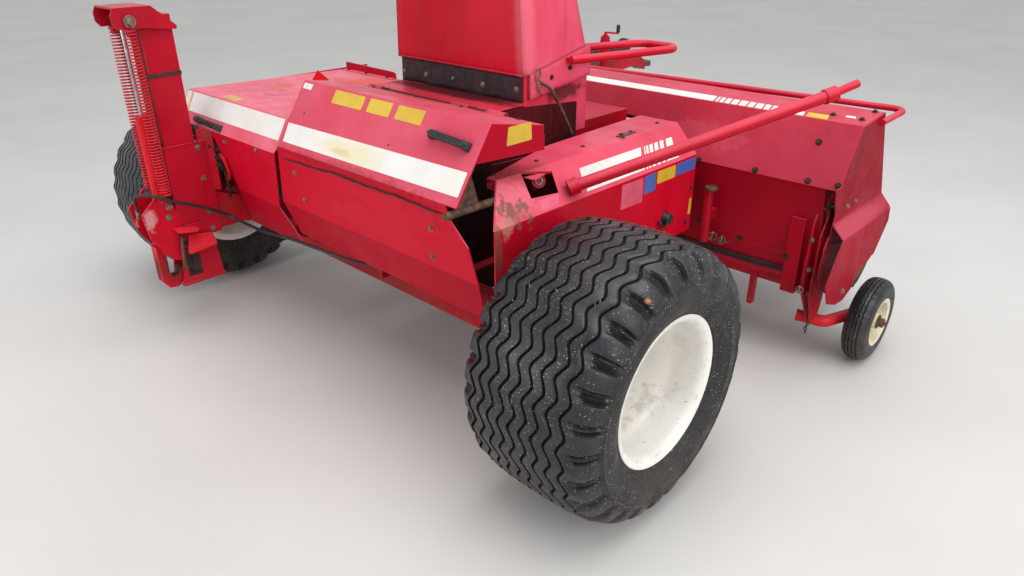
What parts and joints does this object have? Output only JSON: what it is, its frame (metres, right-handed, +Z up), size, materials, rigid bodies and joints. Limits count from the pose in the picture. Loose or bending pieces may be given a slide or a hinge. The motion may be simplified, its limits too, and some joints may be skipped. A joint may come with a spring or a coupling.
{
  "type": "trailed forage harvester",
  "caption": "Trailed precision-chop forage harvester with pick-up head, turning spout, offset drawbar and rear trailer hitch, parked on its wheels and jack.",
  "frame": {"origin": "middle of the machine's footprint box, at ground level", "axes": "+Y in the direction of travel, +X to the machine's right, +Z up"},
  "size_m": [3.3138, 5.7055, 3.2196],
  "materials": {
    "red_paint": "weathered gloss enamel, dusty, chalky pink where it faces the sky",
    "cream_paint": "cream white enamel with dirt",
    "bare_steel": "worn and lightly rusted",
    "chrome_rod": "polished rod",
    "tyre_rubber": "dusty black rubber",
    "black_plastic": "matt black guard"
  },
  "bodies": {
    "root": {"main_frame": "red_paint", "axle": "red_paint", "drawbar_bracket": "red_paint", "rotor_housing": "red_paint", "cutting_drum": "bare_steel", "chute_neck": "red_paint", "chute_foot": "red_paint", "feed_housing": "red_paint", "main_gearbox": "bare_steel", "right_side_panel": "red_paint", "left_side_panel": "red_paint", "long_guard_bar": "red_paint", "front_loop_guard": "red_paint", "tower_column": "red_paint", "tower_head": "red_paint", "hitch_rod": "chrome_rod", "hitch_hose": "black_plastic", "hitch_spring_right": "red_paint", "hitch_spring_left": "red_paint"},
    "wheel_right": {"tyre_right": "tyre_rubber", "rim_right": "cream_paint"},
    "wheel_left": {"tyre_left": "tyre_rubber", "rim_left": "cream_paint"},
    "upper_feed_roller": {"feed_roller_upper": "bare_steel"},
    "lower_feed_roller": {"feed_roller_lower": "bare_steel"},
    "right_cover": {"right_rear_cover": "red_paint", "cover_tube": "bare_steel"},
    "left_hood": {"left_hood": "red_paint"},
    "spout": {"spout_base": "red_paint", "spout_bend": "red_paint", "spout_end": "red_paint"},
    "deflector": {"spout_deflector": "red_paint"},
    "pickup": {"pickup_hood": "red_paint", "pickup_end_right": "red_paint", "pickup_end_left": "red_paint", "pickup_frame": "red_paint", "stripper_bands": "bare_steel", "pickup_guard_tube": "red_paint", "gauge_arm_right": "red_paint", "gauge_arm_left": "red_paint"},
    "reel": {"pickup_reel": "red_paint", "pickup_tines": "bare_steel"},
    "auger": {"cross_auger": "red_paint"},
    "gauge_wheel_right": {"gauge_tyre_right": "tyre_rubber", "gauge_rim_right": "cream_paint"},
    "gauge_wheel_left": {"gauge_tyre_left": "tyre_rubber", "gauge_rim_left": "cream_paint"},
    "hitch_carriage": {"hitch_carriage": "red_paint", "hitch_cylinder": "red_paint"},
    "drawbar": {"drawbar": "red_paint", "drawbar_eye": "bare_steel", "drive_shaft": "black_plastic", "hose_stand": "red_paint", "jack_tube": "red_paint"},
    "jack_leg": {"jack_leg": "bare_steel"}
  },
  "joints": [
    {"name": "wheel_right_spin", "type": "hinge", "parent": "root", "child": "wheel_right", "pos_m": [1.28, -1.54, 0.433], "axis": [1, 0, 0], "continuous": true},
    {"name": "wheel_left_spin", "type": "hinge", "parent": "root", "child": "wheel_left", "pos_m": [-1.25, -1.54, 0.433], "axis": [1, 0, 0], "continuous": true},
    {"name": "upper_feed_roller_spin", "type": "hinge", "parent": "root", "child": "upper_feed_roller", "pos_m": [0.295, -0.68, 0.765], "axis": [1, 0, 0], "continuous": true},
    {"name": "lower_feed_roller_spin", "type": "hinge", "parent": "root", "child": "lower_feed_roller", "pos_m": [0.295, -0.68, 0.595], "axis": [1, 0, 0], "continuous": true},
    {"name": "right_cover_hinge", "type": "hinge", "parent": "root", "child": "right_cover", "pos_m": [0.435, -1.42, 1.083], "axis": [-1, 0, 0], "range_deg": [0, 75]},
    {"name": "left_hood_hinge", "type": "hinge", "parent": "root", "child": "left_hood", "pos_m": [-0.485, -0.965, 0.996], "axis": [-1, 0, 0], "range_deg": [0, 60]},
    {"name": "spout_turn", "type": "hinge", "parent": "root", "child": "spout", "pos_m": [0.313, -1.11, 1.875], "axis": [0, 0, 1], "range_deg": [-120, 120]},
    {"name": "deflector_hinge", "type": "hinge", "parent": "spout", "child": "deflector", "pos_m": [0.313, -2.58016, 3.1312], "axis": [1, 0, 0], "range_deg": [-12, 45]},
    {"name": "pickup_lift", "type": "hinge", "parent": "root", "child": "pickup", "pos_m": [0.465, -0.74, 0.66], "axis": [1, 0, 0], "range_deg": [0, 13]},
    {"name": "reel_spin", "type": "hinge", "parent": "pickup", "child": "reel", "pos_m": [0.465, 0.125, 0.33], "axis": [1, 0, 0], "continuous": true},
    {"name": "auger_spin", "type": "hinge", "parent": "pickup", "child": "auger", "pos_m": [0.465, -0.24, 0.59], "axis": [1, 0, 0], "continuous": true},
    {"name": "gauge_wheel_right_spin", "type": "hinge", "parent": "pickup", "child": "gauge_wheel_right", "pos_m": [1.595, -0.18, 0.175], "axis": [1, 0, 0], "continuous": true},
    {"name": "gauge_wheel_left_spin", "type": "hinge", "parent": "pickup", "child": "gauge_wheel_left", "pos_m": [-0.665, -0.18, 0.175], "axis": [1, 0, 0], "continuous": true},
    {"name": "hitch_lift", "type": "slide", "parent": "root", "child": "hitch_carriage", "axis": [0, 0, 1], "range_m": [0, 0.25], "deforming": ["hitch_spring_right", "hitch_spring_left", "hitch_hose"]},
    {"name": "drawbar_swing", "type": "hinge", "parent": "root", "child": "drawbar", "pos_m": [-0.945, -0.54, 0.56], "axis": [0, 0, -1], "range_deg": [0, 16]},
    {"name": "jack_slide", "type": "slide", "parent": "drawbar", "child": "jack_leg", "axis": [0, 0, 1], "range_m": [0, 0.28]}
  ]
}
